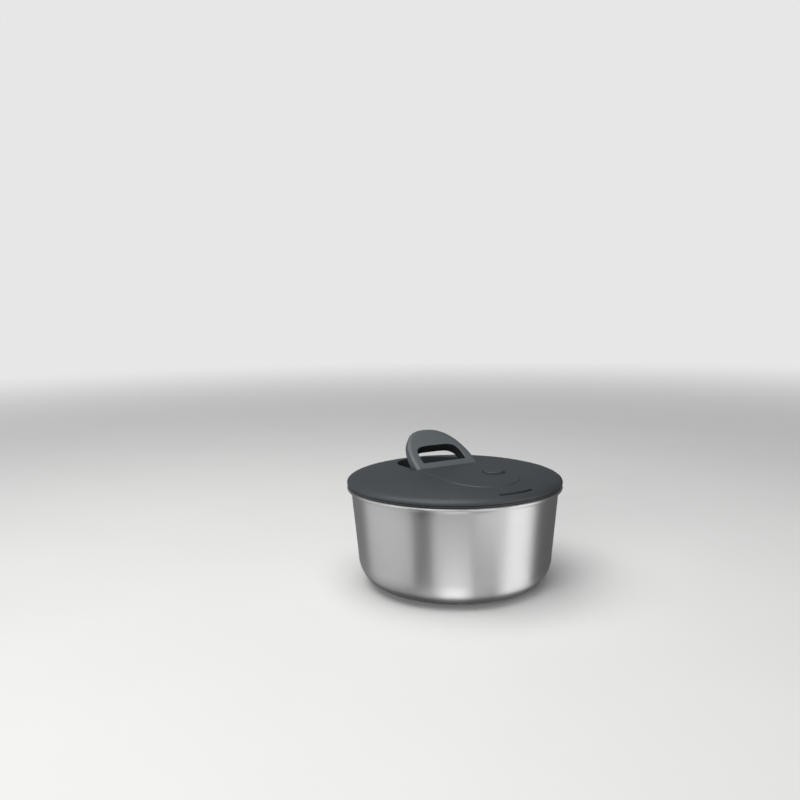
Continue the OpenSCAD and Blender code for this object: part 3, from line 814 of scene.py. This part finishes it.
def around(angle, distance, height):
    """A place at this angle to the right of the camera, seen from the object, in metres."""
    a = VIEW_AZIMUTH + math.radians(angle)
    return Vector((math.sin(a) * distance, -math.cos(a) * distance, height))


def softbox(name, angle, distance, height, width, tall, power, shine=False):
    """Area lamp aimed at the object; reflections see the cards instead of it."""
    data = bpy.data.lights.new(name, "AREA")
    data.shape = "RECTANGLE"
    data.size, data.size_y = width, tall
    data.energy = power
    lamp = bpy.data.objects.new(name, data)
    lamp.location = around(angle, distance, height)
    lamp.rotation_mode = "QUATERNION"
    lamp.rotation_quaternion = (Vector((0, 0, 0.08)) - lamp.location).to_track_quat("-Z", "Y")
    lamp.visible_camera = False
    lamp.visible_glossy = shine
    scene.collection.objects.link(lamp)


def glossy_only(name, verts, faces, brightness):
    """A glowing or black studio card that only reflections see. Faces and brightnesses go in pairs."""
    mesh = bpy.data.meshes.new(name)
    mesh.from_pydata([tuple(v) for v in verts], [], faces)
    for i, level in enumerate(brightness):
        mat = bpy.data.materials.new(f"{name}_{i}")
        mat.use_nodes = True
        tree = mat.node_tree
        tree.nodes.remove(tree.nodes["Principled BSDF"])
        glow = tree.nodes.new("ShaderNodeEmission")
        glow.inputs["Color"].default_value = (level, level, level, 1)
        tree.links.new(glow.outputs["Emission"], tree.nodes["Material Output"].inputs["Surface"])
        mesh.materials.append(mat)
        mesh.polygons[i].material_index = i
    made = bpy.data.objects.new(name, mesh)
    scene.collection.objects.link(made)
    for seen in ("camera", "diffuse", "transmission", "volume_scatter", "shadow"):
        setattr(made, "visible_" + seen, False)


def card(name, start, end, *levels):
    """Card that fills an upright band of the bowl's side, between two angles from the camera's direction.

    It lies on the floor along the ways that the band's edges reflect, and stands up at its far end.
    The levels are its brightness near the bowl, farther out, and upright.
    """
    foot_r, strips, tall, low = 0.096, (0.03, 0.12, 1.4), 1.7, 0.0015
    rows = []
    for angle in (start, end):
        foot = around(angle, foot_r, low)
        away = around(2 * angle + 7 * math.sin(math.radians(angle)), 1, 0)
        row = [foot + away * d for d in strips]
        rows.append(row + [row[-1] + Vector((0, 0, tall))])
    count = len(rows[0])
    faces = [(i, i + 1, i + 1 + count, i + count) for i in range(count - 1)]
    glossy_only(name, rows[0] + rows[1], faces, levels)


def foot_glow():
    """Ring round the bowl's foot that lights its bottom corner, and a dim disc that darkens it below."""
    angles = (-180, -85, -55, -30, -14, -4, 4, 14, 26, 38, 52, 66, 85, 180)
    levels = (0.2, 0.22, 0.45, 0.4, 0.9, 1.9, 1.9, 0.7, 0.55, 1.4, 1.1, 0.25, 0.2, 0.2)
    inner, outer, step = 0.0955, 0.135, 3
    turns = list(range(-180, 180, step))
    verts = [around(a, r, 0.0012) for a in turns for r in (inner, outer)]
    count = len(turns)
    faces = [(2 * i, 2 * i + 1, (2 * i + 3) % (2 * count), (2 * i + 2) % (2 * count)) for i in range(count)]
    glossy_only("foot_glow", verts, faces, [float(np.interp(a + step / 2, angles, levels)) for a in turns])
    glossy_only("foot_shade", verts[::2], [tuple(range(count))], (0.1,))


def make_floor():
    """Pale floor that fades into the pale background."""
    mesh = bpy.data.meshes.new("floor")
    half = 8
    corners = [(-half, -half, 0), (half, -half, 0), (half, half, 0), (-half, half, 0)]
    mesh.from_pydata(corners, [], [(0, 1, 2, 3)])
    floor = bpy.data.objects.new("floor", mesh)
    mat, tree, shader = new_material("floor_pale", (0.8, 0.79, 0.78), 0.9)
    shader.inputs["Specular IOR Level"].default_value = 0
    vary(tree, shader, noise(tree, 6, 3), (0.79, 0.785, 0.775), (0.81, 0.805, 0.795))
    coords = tree.nodes.new("ShaderNodeTexCoord")
    reach = tree.nodes.new("ShaderNodeVectorMath")
    reach.operation = "LENGTH"
    fade = tree.nodes.new("ShaderNodeMapRange")
    fade.interpolation_type = "SMOOTHSTEP"
    for key, value in (("From Min", 0.5), ("From Max", 3), ("To Min", 1), ("To Max", 0)):
        fade.inputs[key].default_value = value
    tree.links.new(coords.outputs["Object"], reach.inputs[0])
    tree.links.new(reach.outputs["Value"], fade.inputs["Value"])
    tree.links.new(fade.outputs["Result"], shader.inputs["Alpha"])
    mesh.materials.append(mat)
    scene.collection.objects.link(floor)


def make_world():
    """Dim ambient light, with a pale background where the camera looks past the floor."""
    world = bpy.data.worlds.new("studio")
    world.use_nodes = True
    tree = world.node_tree
    ambient = tree.nodes["Background"]
    ambient.inputs["Color"].default_value = (0.95, 0.97, 1, 1)
    ambient.inputs["Strength"].default_value = 0.19
    backdrop = tree.nodes.new("ShaderNodeBackground")
    backdrop.inputs["Color"].default_value = (0.8, 0.8, 0.8, 1)
    path = tree.nodes.new("ShaderNodeLightPath")
    choose = tree.nodes.new("ShaderNodeMixShader")
    tree.links.new(path.outputs["Is Camera Ray"], choose.inputs[0])
    tree.links.new(ambient.outputs["Background"], choose.inputs[1])
    tree.links.new(backdrop.outputs["Background"], choose.inputs[2])
    tree.links.new(choose.outputs["Shader"], tree.nodes["World Output"].inputs["Surface"])
    scene.world = world


make_floor()
make_world()
softbox("overhead", -60, 0.35, 1.5, 1.5, 1.5, 22, shine=True)
softbox("front", -25, 1.6, 0.4, 1.2, 0.5, 13)
foot_glow()
card("far_left", -85, -55, 0.3, 0.25, 0.2)
card("light_left", -54, -26, 0.65, 0.75, 0.8)
card("dark_left", -22.5, -12, 0.16, 0.14, 0.14)
card("front", -6, 9, 1.15, 0.5, 0.4)
card("front_right", 10, 25, 0.25, 0.9, 1.3)
card("bright_right", 28, 45, 1.3, 1.4, 1.5)
card("dark_right", 48, 78, 0.14, 0.14, 0.14)
scene.view_settings.view_transform = "Standard"
